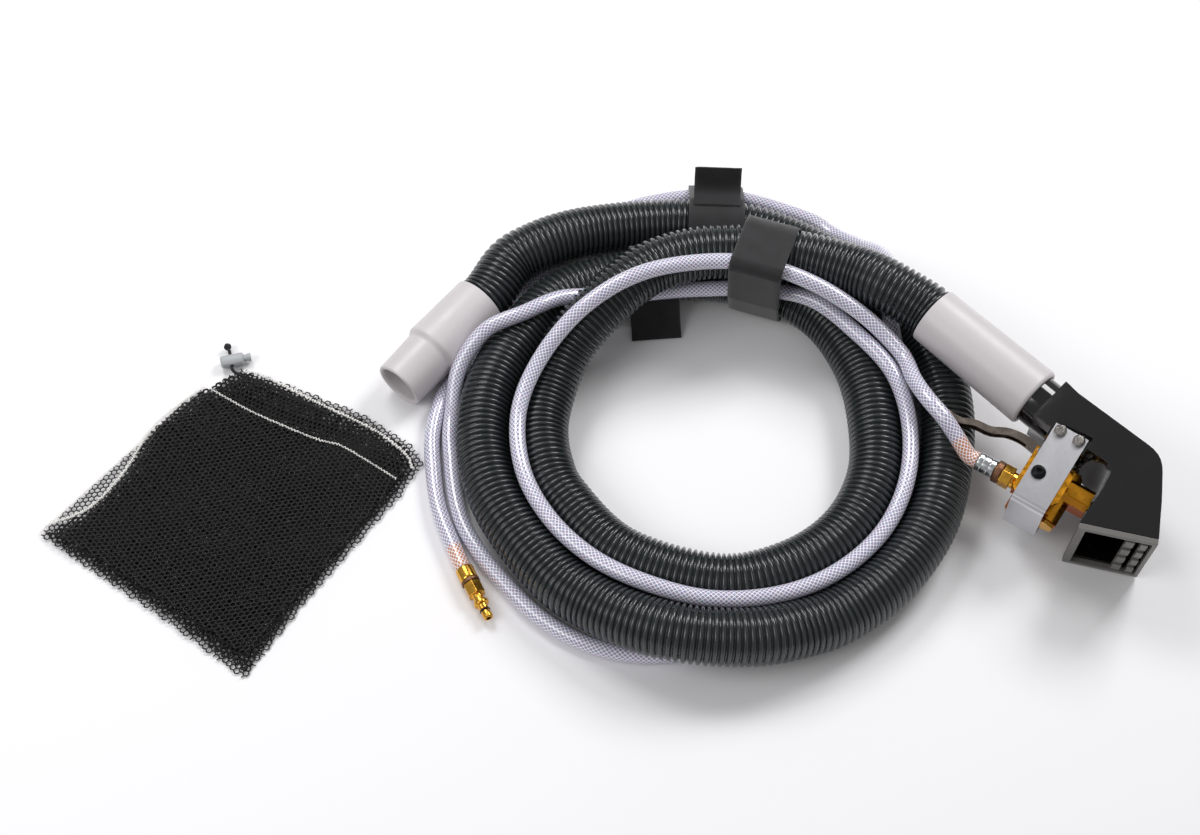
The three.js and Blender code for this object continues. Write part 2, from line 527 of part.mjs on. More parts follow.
const valve = new THREE.Group();
valve.position.set(bracket.at[0], bracket.at[1], 0);
valve.rotation.z = radians(bracket.turn);
tool.add(valve);
const downStem = (geometry) => alongDown(geometry, stem.across);
const atInlet = (geometry) => geometry.translate(0, -inletDown, 0);
valve.add(
  piece("spray_jet", sprayJet(), turnedBrass),
  piece("jet_seal", ring(5.2, 0.8, 41.4).translate(0, -outlet.down, 0), rubberBlack),
  piece("valve_bracket", valveBracket(), aluminium),
  piece("valve_body", valveBody(), castBrass),
  piece("valve_bonnet", downStem(cut(hexagon(13, 19.4, 21.7), rod(3.1, 10, 30, 16))), turnedBrass),
  piece("stem_seal", downStem(sleeve(4.3, 3, 22.3, 24.7, 16)), rubberBlack),
  piece("valve_stem", downStem(valveStem()), brightSteel),
  piece("poppet_seal", downStem(sleeve(5, stem.radius + gap, stem.seat + gap, stem.seat + 2.2, 16)), rubberBlack),
  piece("return_spring", downStem(spring(4, 0.45, stem.seat + 4.9, 57.5, 4)), brightSteel),
  piece("valve_cap", downStem(join(rod(5.2, 62, 69), hexagon(15, 68 + gap, 71.8))), turnedBrass),
  piece("trigger_lever", triggerLever(), brightSteel),
  piece("lever_pin", alongZ(join(rod(pivot.radius, -11.5, 11.5, 16), rod(3.2, 10.6, 12, 16)), pivot.across,
    -pivot.down), brightSteel),
  piece("inlet_fitting", inletFitting(), turnedBrass),
  piece("inlet_collar", atInlet(sleeve(9.6, 4.9, -38, -32 - gap, 20)), knurledBronze),
  piece("inlet_ferrule", atInlet(sleeve(7.9, 4.9, ferruleEnd, -38 - gap)), zincPlate),
);
[1, -1].forEach((side, s) => {
  const legFace = bracket.inside + bracket.sheet;
  [-0.5, 0.5].forEach((step, i) => {
    const number = 2 * s + i + 1;
    const washer = piece(`bracket_washer_${number}`, alongZ(sleeve(5.3, 2.4, 0, 0.8, 18), 0, 0), brightSteel);
    const screw = piece(`bracket_screw_${number}`, alongZ(panScrew(), 0, 0), brightSteel);
    washer.position.set(step * screwRow.spacing, -screwRow.down, side * (legFace + gap));
    screw.position.set(step * screwRow.spacing, -screwRow.down, side * (legFace + 0.8 + 2 * gap));
    [washer, screw].forEach((mesh) => (mesh.rotation.x = side > 0 ? 0 : Math.PI));
    valve.add(washer, screw);
  });
  const valveScrew = piece(`valve_screw_${s + 1}`, alongZ(buttonScrew(), 0, 0), blackSteel);
  valveScrew.position.set(valveScrewAt[0], -valveScrewAt[1], side * (legFace + gap));
  valveScrew.rotation.x = side > 0 ? 0 : Math.PI;
  valve.add(valveScrew);
});

const plugEnd = groupAlong(plug);
plugEnd.add(
  piece("plug_ferrule", sleeve(7.6, 5, gap, 12), turnedBrass),
  piece("plug_collar", sleeve(7.8, 5, 12 + gap, 15), knurledBronze),
  piece("plug_barb", sleeve(4.6, 2.2, gap, 15, 16), turnedBrass),
  piece("plug_body", plugBody(), turnedBrass),
  piece("plug_seal", ring(4, 0.5, 42.2), rubberBlack),
);

// The hoses leave their fittings straight, along the fittings' axes.
tool.updateMatrixWorld(true);
const ferruleMouth = (beyond) =>
  valve.localToWorld(new THREE.Vector3(ferruleEnd - beyond, -inletDown, 0));
const backFrom = (end, distance) => new THREE.Vector3(...end.at).addScaledVector(axisOf(end), -distance);
const vacuumPoints = [
  new THREE.Vector3(...machineCuff.at), backFrom(machineCuff, straightEnd.vacuum),
  ...vacuumRoute.map(roundCoil),
  backFrom(toolCuff, straightEnd.vacuum), new THREE.Vector3(...toolCuff.at),
];
const solutionPoints = [
  ferruleMouth(gap), ferruleMouth(straightEnd.solution),
  ...solutionRoute.map(roundCoil),
  backFrom(plug, straightEnd.solution), new THREE.Vector3(...plug.at),
];

// The first strap holds the outer turn and the solution hose behind it. The second holds both layers and
// both passes of the solution hose inside them. The third hangs on the lower inner turn.
const straps = [
  {
    name: "strap_1", degrees: 87.5, distance: 209, width: 50,
    bundle: [[1, 25.5, 23.2], [-3, 25.5, 23.2], [49, 9.6, 6.6], [46.5, 9.6, 6.6]],
    tail: [[3, 50.6], [17, 53], [24, 60], [29, 76]], tailWidth: 42,
  },
  {
    name: "strap_2", degrees: 71, distance: 150, width: 46,
    bundle: [[1.5, 25.5, 23.2], [-3, 25.5, 23.2], [1.6, 74.2, 23.2], [-8.2, 74.2, 23.2],
      [-34.8, 92.4, 6.6], [-26.5, 88, 6.6], [-27.8, 46, 6.6]],
  },
  {
    name: "strap_3", degrees: 108, distance: 162.7, turn: -13, width: 36,
    bundle: [[0.5, 25.5, 23.2], [-3, 25.5, 23.2]],
    tail: [[-27, 27], [-33, 22], [-42, 11], [-54, 1.2]], tailWidth: 44,
  },
];

const bagGroup = new THREE.Group();
const clip = groupAlong(cordLock);
clip.add(
  piece("cord_lock_body", cordLockBody(), clipGrey),
  piece("cord_lock_button", cordLockButton(), clipGrey),
  piece("bag_drawcord", drawcordEnd(), netBlack),
  piece("cord_lock_spring", spring(1.9, 0.35, clipBoreEnd + 0.5, -4.6, 3), brightSteel),
);
bagGroup.add(
  piece("accessory_bag", slab(roundedOutline(bag.corners, 14), bag.thickness).translate(0, 0, bag.thickness / 2),
    netBlack),
  clip,
);

const layout = new THREE.Group();
layout.position.set(...coilCentre);
layout.add(
  machineEnd,
  toolEnd,
  tool,
  plugEnd,
  piece("vacuum_hose", tube(vacuumPoints, vacuumHose), hoseBlack),
  piece("solution_hose", tube(solutionPoints, solutionHose), clearHose),
  ...straps.map(strap),
  bagGroup,
);

const spotExtractor = new THREE.Group();
spotExtractor.add(layout);

export default spotExtractor;
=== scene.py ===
import math
import bmesh
import bpy
import numpy as np
from mathutils import Matrix, Vector


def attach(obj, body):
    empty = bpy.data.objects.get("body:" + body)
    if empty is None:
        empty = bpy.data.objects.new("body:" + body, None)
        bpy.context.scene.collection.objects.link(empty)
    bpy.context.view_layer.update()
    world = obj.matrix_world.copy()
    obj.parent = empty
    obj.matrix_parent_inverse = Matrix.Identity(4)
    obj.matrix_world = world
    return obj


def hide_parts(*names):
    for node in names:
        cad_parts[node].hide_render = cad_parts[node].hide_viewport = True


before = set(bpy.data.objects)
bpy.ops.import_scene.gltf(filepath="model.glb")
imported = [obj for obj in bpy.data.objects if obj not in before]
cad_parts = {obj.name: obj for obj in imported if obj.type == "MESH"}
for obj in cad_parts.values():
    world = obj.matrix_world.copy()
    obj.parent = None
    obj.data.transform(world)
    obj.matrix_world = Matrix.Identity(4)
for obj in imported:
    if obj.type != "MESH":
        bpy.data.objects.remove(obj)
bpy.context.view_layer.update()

chance = np.random.default_rng(7)
mm = 0.001
print("stage: frame loaded")

# What a user would change, piece by piece. Lengths are in millimetres, colours are sRGB.
coilCentre = (103.56, -19.09, 0)
vacuumHose = {"colour": "#292e2f", "roughness": 0.2, "radius": 23.4, "groove": 3.4, "ribPitch": 5.3,
              "sides": 24, "straight": 18}
solutionHose = {"radius": 6.9, "sides": 28, "step": 1.6, "thread": "#ffffff", "knot": "#efedf7",
                "gap": "#9894b0", "barb": "#c27c4c", "cellLong": 4.1, "cellsRound": 12,
                "barbAtTool": (22, 27), "barbAtPlug": (24, 19), "straight": 9}
machineCuff = {"at": (-205.5, 113.9, 31), "heading": -129.2, "noseDown": 4.6}
toolCuff = {"at": (189.4, 66.2, 77.5), "heading": -45.1, "noseDown": 5, "length": 105}
cuffs = {"colour": "#c9c4c6", "roughness": 0.42}
toolShell = {"colour": "#0b0b0d", "roughness": 0.11, "edge": 3.6, "roll": 11.7}
mouthFace = {"colour": "#6e6c69", "roughness": 0.45}
# The copper-brown second colour is painted shade for brass faces that turn away from the key light.
valveBox = {"brass": "#d8962a", "shadedBrass": "#b8653a", "roughness": 0.3}
bracketSheet = {"colour": "#cfcfd4", "roughness": 0.34, "at": (44.9, -13, 0), "turn": 11.5}
inlet = {"reach": 50, "ferruleMouth": 54.3, "hoseOut": 63}  # along the fitting, away from the valve
straps = {"colour": "#151518", "sheet": 1.4, "clearance": 0.5, "roughness": 0.85, "columns": 17}
net = {"colour": "#1a1a1d", "under": "#060607", "cell": 4.45, "strand": 0.6, "underStrand": 0.95,
       "stitch": "#efedea"}
clip = {"at": (-419, 73.5, 6.2), "heading": 14, "colour": "#a9acae"}
drawcordSize = {"radius": 1.45, "sides": 12, "step": 1.0}
plug = {"at": (-207.1, -134.5, 8), "heading": -64}
# The room is in metres.
room = {"floor": "#f4f3f5", "floorHalf": 6, "floorDrop": 0.0005, "light": "#ffffff", "strength": 0.34}
lights = [
    {"name": "key", "at": (1.1, 1.0, 1.6), "aim": (0.1, 0, 0), "size": (0.8, 0.8), "power": 22},
    {"name": "fill", "at": (-1.3, -0.7, 1.5), "aim": (0, 0, 0), "size": (1.2, 1.0), "power": 13},
    {"name": "back", "at": (-0.7, 1.0, 1.8), "aim": (0, 0, 0), "size": (0.9, 0.7), "power": 17},
]
lookFrom = {"at": (0.00756, -0.87249, 1.3419), "aim": (0.00756, -0.00109, 0), "lens": 55.5, "sensor": 36}


# Colours and materials
def linear(hexColour):
    out = []
    for i in (1, 3, 5):
        c = int(hexColour[i:i + 2], 16) / 255
        out.append(c / 12.92 if c <= 0.04045 else ((c + 0.055) / 1.055) ** 2.4)
    return (*out, 1)


def add(tree, kind, links=None, values=None, **settings):
    node = tree.nodes.new(kind)
    for key, value in settings.items():
        setattr(node, key, value)
    for key, value in (values or {}).items():
        node.inputs[key].default_value = value
    for key, socket in (links or {}).items():
        tree.links.new(socket, node.inputs[key])
    return node


def newMaterial(name, colour, roughness, metallic=0.0, **fixed):
    made = bpy.data.materials.new(name)
    made.use_nodes = True
    tree = made.node_tree
    shader = tree.nodes["Principled BSDF"]
    shader.inputs["Base Color"].default_value = linear(colour)
    shader.inputs["Roughness"].default_value = roughness
    shader.inputs["Metallic"].default_value = metallic
    for key, value in fixed.items():
        shader.inputs[key.replace("_", " ")].default_value = value
    made.diffuse_color = linear(colour)
    return made, tree, shader


# The grain's size is in millimetres.
def noise(tree, size, detail=3, roughness=0.5, stretch=(1, 1, 1)):
    place = add(tree, "ShaderNodeTexCoord")
    scale = add(tree, "ShaderNodeMapping", {"Vector": place.outputs["Object"]}, {"Scale": stretch})
    return add(tree, "ShaderNodeTexNoise", {"Vector": scale.outputs["Vector"]},
               {"Scale": 1 / (size * mm), "Detail": detail, "Roughness": roughness})


def vary(tree, shader, socket, source, low, high):
    spread = add(tree, "ShaderNodeMapRange", {"Value": source},
                 {"From Min": 0.35, "From Max": 0.65, "To Min": low, "To Max": high})
    tree.links.new(spread.outputs["Result"], shader.inputs[socket])


def bump(tree, shader, source, height, strength=1.0):
    made = add(tree, "ShaderNodeBump", {"Height": source}, {"Strength": strength, "Distance": height * mm})
    tree.links.new(made.outputs["Normal"], shader.inputs["Normal"])


def blendColours(tree, factor, first, second):
    mix = add(tree, "ShaderNodeMix", {"Factor": factor}, data_type="RGBA")
    mix.inputs["A"].default_value = linear(first)
    mix.inputs["B"].default_value = linear(second)
    return mix.outputs["Result"]


def simple(name, colour, roughness, metallic=0.0, grain=6, grainHeight=0.02, wear=0.06, **fixed):
    made, tree, shader = newMaterial(name, colour, roughness, metallic, **fixed)
    grit = noise(tree, grain)
    vary(tree, shader, "Roughness", grit.outputs["Fac"], roughness - wear, roughness + wear)
    if grainHeight:
        bump(tree, shader, noise(tree, grain / 8).outputs["Fac"], grainHeight, 0.6)
    return made


# Blown corrugated hose: a soft sheen on each rib, a little duller where hands have rubbed it.
hoseVinyl = simple("corrugated black vinyl", vacuumHose["colour"], vacuumHose["roughness"], grain=30,
                   grainHeight=0.01, wear=0.05, Coat_Weight=0.25, Coat_Roughness=0.12)
cuffVinyl = simple("moulded grey vinyl", cuffs["colour"], cuffs["roughness"], grain=25, grainHeight=0.015,
                   Coat_Weight=0.15, Coat_Roughness=0.3)  # soft highlight of a dipped cuff
toolPlastic = simple("polished black plastic", toolShell["colour"], toolShell["roughness"], grain=40,
                     grainHeight=0.006, wear=0.03, Coat_Weight=0.5, Coat_Roughness=0.06)
mouthPlastic = simple("satin grey plate", mouthFace["colour"], mouthFace["roughness"], 0.2, grain=4,
                      grainHeight=0.02)
turnedBrass = simple("turned brass", "#e2aa45", 0.2, 1.0, grain=5, grainHeight=0.004, wear=0.05)
stainless = simple("bright stainless", "#b9b5b1", 0.2, 1.0, grain=5, grainHeight=0.004, wear=0.06)
leverMetal = simple("bent bright steel", "#8f847c", 0.24, 1.0, grain=8, grainHeight=0.03, wear=0.08)
blackScrew = simple("blackened steel", "#17181a", 0.38, 0.7, grain=3, grainHeight=0.01)
zincCrimp = simple("zinc plated crimp", "#c6cacc", 0.24, 1.0, grain=3, grainHeight=0.01)
sealRubber = simple("moulded black rubber", "#131313", 0.6, grain=3)
clipPlastic = simple("moulded grey plastic", clip["colour"], 0.45, grain=5, grainHeight=0.01)
stitchThread = simple("white overlock thread", net["stitch"], 0.8, grain=0.8, grainHeight=0.05)
drawcordYarn = simple("braided black yarn", "#1d1d20", 0.85, grain=0.9, grainHeight=0.1)


# Cast and tumbled brass: fine sand grain. Faces turned down and away from the key light get a painted
# copper-brown shade blended over the brass.
def castBrassMaterial():
    made, tree, shader = newMaterial("cast brass", valveBox["brass"], valveBox["roughness"], 1.0)
    sand = noise(tree, 0.7, 4)
    bump(tree, shader, sand.outputs["Fac"], 0.06, 0.7)
    vary(tree, shader, "Roughness", noise(tree, 5).outputs["Fac"], 0.22, 0.42)
    # Painted shade: faces whose normals point down and away from the key light take the copper-brown
    # colour.
    faces = add(tree, "ShaderNodeNewGeometry")
    awayFromKeyLight = add(tree, "ShaderNodeVectorMath", {0: faces.outputs["Normal"]}, {1: (-0.55, -0.8, -0.2)},
                   operation="DOT_PRODUCT")
    lower = add(tree, "ShaderNodeMapRange", {"Value": awayFromKeyLight.outputs["Value"]},
                {"From Min": 0.6, "From Max": 0.9})
    colour = blendColours(tree, lower.outputs["Result"], valveBox["brass"], valveBox["shadedBrass"])
    tree.links.new(colour, shader.inputs["Base Color"])
    return made


# Rolled aluminium sheet, brushed one way: long fine scratches stretch each highlight.
def brushedMaterial():
    made, tree, shader = newMaterial("brushed aluminium", bracketSheet["colour"],
                                     bracketSheet["roughness"], 1.0)
    brushed = noise(tree, 0.35, 2, 0.6, (0.05, 1, 1))
    vary(tree, shader, "Roughness", brushed.outputs["Fac"], 0.32, 0.4)
    bump(tree, shader, brushed.outputs["Fac"], 0.003, 0.4)
    return made


# Knurled collar: crossed rolled grooves that catch the light as small diamonds.
def knurledMaterial():
    made, tree, shader = newMaterial("knurled bronze", "#7d5b45", 0.4, 1.0)
    place = add(tree, "ShaderNodeTexCoord")
    cells = add(tree, "ShaderNodeTexVoronoi", {"Vector": place.outputs["Object"]},
                {"Scale": 1 / (1.1 * mm)})
    bump(tree, shader, cells.outputs["Distance"], 0.25, 0.9)
    return made


# Clear hose over a woven braid: two sets of white threads wind opposite ways round a lilac core. Near each
# end the copper coloured barb shows between the threads.
def braidMaterial(lengthMm):
    made, tree, shader = newMaterial("clear braided vinyl", solutionHose["gap"], 0.2, Coat_Weight=1.0,
                                     Coat_Roughness=0.08, Subsurface_Weight=0.15)
    shader.inputs["Subsurface Scale"].default_value = 0.003
    place = add(tree, "ShaderNodeUVMap", uv_map="along")
    parts = add(tree, "ShaderNodeSeparateXYZ", {"Vector": place.outputs["UV"]})
    along = add(tree, "ShaderNodeMath", {0: parts.outputs["X"]}, {1: 1 / solutionHose["cellLong"]},
                operation="MULTIPLY")
    around = add(tree, "ShaderNodeMath", {0: parts.outputs["Y"]}, {1: solutionHose["cellsRound"]},
                 operation="MULTIPLY")
    threads = []
    for operation in ("ADD", "SUBTRACT"):
        wound = add(tree, "ShaderNodeMath", {0: along.outputs[0], 1: around.outputs[0]},
                    operation=operation)
        saw = add(tree, "ShaderNodeMath", {0: wound.outputs[0]}, {1: 0.5}, operation="PINGPONG")
        width = add(tree, "ShaderNodeMapRange", {"Value": saw.outputs[0]},
                    {"From Min": 0.09, "From Max": 0.16, "To Min": 1, "To Max": 0})
        threads.append(width.outputs["Result"])
    woven = add(tree, "ShaderNodeMath", {0: threads[0], 1: threads[1]}, operation="MAXIMUM")
    knots = add(tree, "ShaderNodeMath", {0: threads[0], 1: threads[1]}, operation="MULTIPLY")
    covered, clear = solutionHose["barbAtTool"]
    nearStart = add(tree, "ShaderNodeMapRange", {"Value": parts.outputs["X"]},
                    {"From Min": covered, "From Max": clear, "To Min": 1, "To Max": 0})
    clear, covered = solutionHose["barbAtPlug"]
    nearEnd = add(tree, "ShaderNodeMapRange", {"Value": parts.outputs["X"]},
                  {"From Min": lengthMm - clear, "From Max": lengthMm - covered})
    ends = add(tree, "ShaderNodeMath", {0: nearStart.outputs["Result"], 1: nearEnd.outputs["Result"]},
               operation="MAXIMUM")
    core = blendColours(tree, ends.outputs[0], solutionHose["gap"], solutionHose["barb"])
    threadColour = blendColours(tree, knots.outputs[0], solutionHose["knot"], solutionHose["thread"])
    mix = add(tree, "ShaderNodeMix", {"Factor": woven.outputs[0], "A": core, "B": threadColour},
              data_type="RGBA")
    tree.links.new(mix.outputs["Result"], shader.inputs["Base Color"])
    bump(tree, shader, woven.outputs[0], 0.12, 0.35)
    return made


# Woven webbing with a napped face: matt, with a fine rib and a faint sheen at grazing angles.
def webbingMaterial():
    made, tree, shader = newMaterial("napped black webbing", straps["colour"], straps["roughness"],
                                     Sheen_Weight=0.35, Sheen_Roughness=0.5)
    nap = noise(tree, 0.5, 4, 0.7)
    bump(tree, shader, nap.outputs["Fac"], 0.25, 0.8)
    worn = noise(tree, 14, 3)
    spread = add(tree, "ShaderNodeMapRange", {"Value": worn.outputs["Fac"]},
                 {"From Min": 0.3, "From Max": 0.7})
    colour = blendColours(tree, spread.outputs["Result"], "#101012", "#1c1c20")
    tree.links.new(colour, shader.inputs["Base Color"])
    return made


# Knitted monofilament net: slightly glossy yarn with a twisted surface.
def netMaterial(name, colour, roughness):
    made, tree, shader = newMaterial(name, colour, roughness)
    yarn = noise(tree, 0.6, 3)
    bump(tree, shader, yarn.outputs["Fac"], 0.1, 0.6)
    return made


castBrass = castBrassMaterial()
brushedAluminium = brushedMaterial()
knurledBronze = knurledMaterial()
webbing = webbingMaterial()
netYarn = netMaterial("knitted black net", net["colour"], 0.4)
underYarn = netMaterial("shaded black net", net["under"], 0.8)
print("stage: materials made")


# Shapes
def meshObject(name, vertices, faces, material, smooth=True, sharp=None):
    mesh = bpy.data.meshes.new(name)
    mesh.from_pydata([tuple(v) for v in vertices], [], [tuple(f) for f in faces])
    mesh.materials.append(material)
    mesh.polygons.foreach_set("use_smooth", [smooth] * len(mesh.polygons))
    if sharp:
        mesh.set_sharp_from_angle(angle=math.radians(sharp))
    made = bpy.data.objects.new(name, mesh)
    bpy.context.collection.objects.link(made)
    return made


# Every face of the closed mesh turned outwards.
def faceOut(mesh):
    work = bmesh.new()
    work.from_mesh(mesh)
    bmesh.ops.recalc_face_normals(work, faces=work.faces)
    work.to_mesh(mesh)
    work.free()


def shown(made, body, *nodes, slot=None):
    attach(made, body)
    if nodes:
        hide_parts(*nodes)
    return made


# A finer copy of a machined or moulded piece, its edges eased by edge millimetres.
def moved(node, name, material, body, edge=0.0, segments=2, slot=None, angle=32):
    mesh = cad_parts[node].data.copy()
    made = bpy.data.objects.new(name, mesh)
    bpy.context.collection.objects.link(made)
    mesh.materials.clear()
    mesh.materials.append(material)
    work = bmesh.new()
    work.from_mesh(mesh)
    bmesh.ops.remove_doubles(work, verts=work.verts, dist=0.00002)
    bmesh.ops.dissolve_limit(work, angle_limit=math.radians(1), verts=work.verts, edges=work.edges)
    work.to_mesh(mesh)
    work.free()
    mesh.polygons.foreach_set("use_smooth", [True] * len(mesh.polygons))
    if edge:
        ease = made.modifiers.new("eased edges", "BEVEL")
        ease.width = edge * mm
        ease.segments = segments
        ease.limit_method = "ANGLE"
        ease.angle_limit = math.radians(angle)
        ease.harden_normals = True
    mesh.set_sharp_from_angle(angle=math.radians(angle))
    return shown(made, body, node, slot=slot)


# The frame of a fitting: X along it, from its start.
def placing(end):
    heading = Matrix.Rotation(math.radians(end["heading"]), 4, "Z")
    dip = Matrix.Rotation(math.radians(end.get("noseDown", 0)), 4, "Y")
    at = Vector(end["at"]) + Vector(coilCentre)
    return Matrix.Translation(at * mm) @ heading @ dip


# The closed (radius, along) profile with each corner rounded.
def softened(profile, radius, steps=4):
    out = []
    count = len(profile)
    for i, corner in enumerate(profile):
        here = Vector(corner)
        before = Vector(profile[i - 1]) - here
        after = Vector(profile[(i + 1) % count]) - here
        reach = min(radius, before.length * 0.45, after.length * 0.45)
        start = here + before.normalized() * reach
        end = here + after.normalized() * reach
        for k in range(steps + 1):
            t = k / steps
            out.append(start * (1 - t) ** 2 + here * 2 * t * (1 - t) + end * t ** 2)
    return out


def lathe(name, profile, place, material, sides=96, radius=0.5, steps=4):
    ring = softened(profile, radius, steps)
    vertices = []
    for i in range(sides):
        angle = 2 * math.pi * i / sides
        for r, x in ring:
            vertices.append(place @ Vector((x * mm, r * mm * math.cos(angle), r * mm * math.sin(angle))))
    count = len(ring)
    faces = []
    for i in range(sides):
        for k in range(count):
            a, b = i * count + k, i * count + (k + 1) % count
            c, d = ((i + 1) % sides) * count + (k + 1) % count, ((i + 1) % sides) * count + k
            faces.append((a, d, c, b))
    made = meshObject(name, vertices, faces, material, sharp=50)
    faceOut(made.data)
    return made


# Routes: degrees round the coil's centre, distance from it and height.
vacuumRoute = [
    (138, 236, 37.5), (131, 231, 39), (124, 226, 37), (116, 221, 32), (106, 216, 27), (96, 212, 25.5),
    (84, 208.5, 25.5), (74, 206.5, 25), (57, 200.5, 24), (39, 198, 24), (22, 203.5, 24), (5, 199.5, 24),
    (-13, 197, 24), (-30, 201, 24), (-47, 205, 24), (-62, 208, 25), (-72, 209, 29), (-82, 211, 35),
    (-92, 211, 38.5), (-101, 210, 38.5), (-110, 207, 34), (-120, 203, 28), (-132, 200, 24.5),
    (-153, 197, 24), (-171, 196, 24), (-189, 192, 24), (-207, 186, 24.5), (-225, 183, 25),
    (-244, 168, 25.5), (-265, 154, 25.5), (-288, 151, 25.8), (-311, 149, 24.4), (-334, 141, 24),
    (-358, 137, 24), (-383, 144, 24), (-406, 151, 24), (-428, 154, 24), (-451, 155, 24),
    (-482, 152, 24), (-509, 149, 24), (-523, 148, 24), (-537, 146, 24.5), (-551, 142, 29),
    (-565, 139, 41), (-578, 134, 55.5), (-593, 132, 66.5), (-608, 137, 71), (-623, 140, 73),
    (-637, 143, 74), (-651, 149, 74), (-664, 158, 75), (-676, 168, 78), (-686, 177, 82.5),
]
solutionRoute = [
    (-11.3, 199, 62.5), (-7.9, 187, 69.5), (-2.6, 174.5, 69.5), (5, 167, 64), (16, 164, 60.5),
    (32, 147, 72), (52, 130, 84.5), (75, 120, 91.5), (101, 116, 93.5), (126, 119, 97),
    (148, 133, 85), (166, 151, 62), (183, 164, 50), (201, 171, 46), (218, 174, 44.5),
    (235, 176, 44.5), (252, 178, 46.5), (268, 180, 43), (285, 181, 41.5), (301, 180, 40),
    (318, 177, 40), (335, 171, 43), (353, 163, 46.5), (371, 154, 52), (390, 140, 56),
    (411, 136, 54), (433, 127, 47), (457, 126, 41.5), (475, 134.5, 40), (488, 151, 40),
    (500, 169, 51.5), (511, 184, 56.5), (519, 208, 50.5), (527, 222.5, 30), (535, 223.5, 11),
    (545, 224, 7.5), (564, 229, 7.5), (583, 228, 7.5), (596, 229, 7.5), (607, 226, 7.5),
    (618, 216, 7.5), (629, 202, 7.5), (640, 190, 7.5), (653, 182, 7.5), (668, 179, 7.5),
    (684, 175, 7.5), (701, 171, 7.5), (717, 169, 8), (734, 170.5, 20), (752, 182, 49.5),
    (760, 207, 55.5), (767, 224, 42), (774, 234, 22), (781, 243, 9), (788, 251, 7.5),
    (803, 257, 9.5), (813, 257, 9.5), (824, 255, 7.5), (834, 249, 7.5), (844, 238, 7.5),
    (853, 225, 7.5), (862, 214, 7.5), (871, 211, 7.5), (881, 217, 7.5), (890, 233, 7.5),
    (900, 239, 7.5), (909, 240, 7.5), (919, 243, 7.5),
]


def roundCoil(station):
    degrees, distance, height = station
    angle = math.radians(degrees)
    return Vector((coilCentre[0] + distance * math.cos(angle),
                   coilCentre[1] + distance * math.sin(angle), height))


# The Catmull-Rom line through the points, in steps of equal length, in millimetres.
def smoothLine(points, step):
    ends = [2 * points[0] - points[1], *points, 2 * points[-1] - points[-2]]
    fine = []
    for i in range(1, len(ends) - 2):
        a, b, c, d = (np.array(p) for p in ends[i - 1:i + 3])
        for t in np.linspace(0, 1, 40, endpoint=False):
            fine.append(0.5 * (2 * b + (c - a) * t + (2 * a - 5 * b + 4 * c - d) * t ** 2
                               + (3 * b - a - 3 * c + d) * t ** 3))
    fine.append(np.array(points[-1]))
    fine = np.array(fine)
    lengths = np.concatenate([[0], np.cumsum(np.linalg.norm(np.diff(fine, axis=0), axis=1))])
    total = lengths[-1]
    count = int(round(total / step))
    wanted = np.linspace(0, total, count + 1)
    line = np.stack([np.interp(wanted, lengths, fine[:, k]) for k in range(3)], axis=1)
    return line, total


# A pair of cross directions at each point, carried along the line without twisting.
def carried(line):
    tangents = np.gradient(line, axis=0)
    tangents /= np.linalg.norm(tangents, axis=1)[:, None]
    side = np.cross(tangents[0], (0, 0, 1))
    side /= np.linalg.norm(side)
    first = []
    for tangent in tangents:
        side = side - tangent * np.dot(side, tangent)
        side /= np.linalg.norm(side)
        first.append(side.copy())
    first = np.array(first)
    return first, np.cross(tangents, first)


def tubeMesh(name, line, radii, sides, material, uvStep=None):
    first, second = carried(line)
    angles = np.linspace(0, 2 * math.pi, sides, endpoint=False)
    around = (np.cos(angles)[None, :, None] * first[:, None, :]
              + np.sin(angles)[None, :, None] * second[:, None, :])
    rings = (line[:, None, :] + radii[:, None, None] * around) * mm
    count = len(line)
    vertices = rings.reshape(-1, 3)
    i = np.arange(count - 1)[:, None]
    k = np.arange(sides)[None, :]
    after = (k + 1) % sides
    quads = np.stack([i * sides + k, i * sides + after, (i + 1) * sides + after, (i + 1) * sides + k],
                     axis=-1)
    quads = quads.reshape(-1, 4)[:, ::-1]
    faces = quads.tolist()
    faces.append(list(range(sides)))
    faces.append([(count - 1) * sides + s for s in reversed(range(sides))])
    made = meshObject(name, vertices.tolist(), faces, material)
    work = bmesh.new()
    work.from_mesh(made.data)
    bmesh.ops.recalc_face_normals(work, faces=work.faces)
    if uvStep:
        layer = work.loops.layers.uv.new("along")
        for face in work.faces:
            spots = [(v.index // sides, v.index % sides) for v in face.verts]
            wraps = {s for _, s in spots} == {0, sides - 1}
            for loop in face.loops:
                row, column = loop.vert.index // sides, loop.vert.index % sides
                if wraps and column == 0:
                    column = sides
                loop[layer].uv = (row * uvStep, column / sides)
    work.to_mesh(made.data)
    work.free()
    return made


def axisOf(end):
    return (placing(end).to_3x3() @ Vector((1, 0, 0))).normalized()


def backFrom(end, distance):
    return Vector(coilCentre) + Vector(end["at"]) - axisOf(end) * distance


# Vacuum hose
vacuumPoints = [backFrom(machineCuff, 0), backFrom(machineCuff, vacuumHose["straight"]),
                *map(roundCoil, vacuumRoute),
                backFrom(toolCuff, vacuumHose["straight"]), backFrom(toolCuff, 0)]
vacuumLine, vacuumLength = smoothLine(vacuumPoints[::-1], vacuumHose["ribPitch"] / 8)
ribs = np.linspace(0, vacuumLength / vacuumHose["ribPitch"], len(vacuumLine)) % 1
crest = np.clip(1.35 * np.sin(math.pi * ribs) ** 0.8 - 0.2, 0, 1)
vacuumRadii = vacuumHose["radius"] - vacuumHose["groove"] * (1 - crest)
vacuum = tubeMesh("vacuum_hose_corrugated", vacuumLine, vacuumRadii, vacuumHose["sides"], hoseVinyl)
shown(vacuum, "extractor", "vacuum_hose", slot="hose_black")

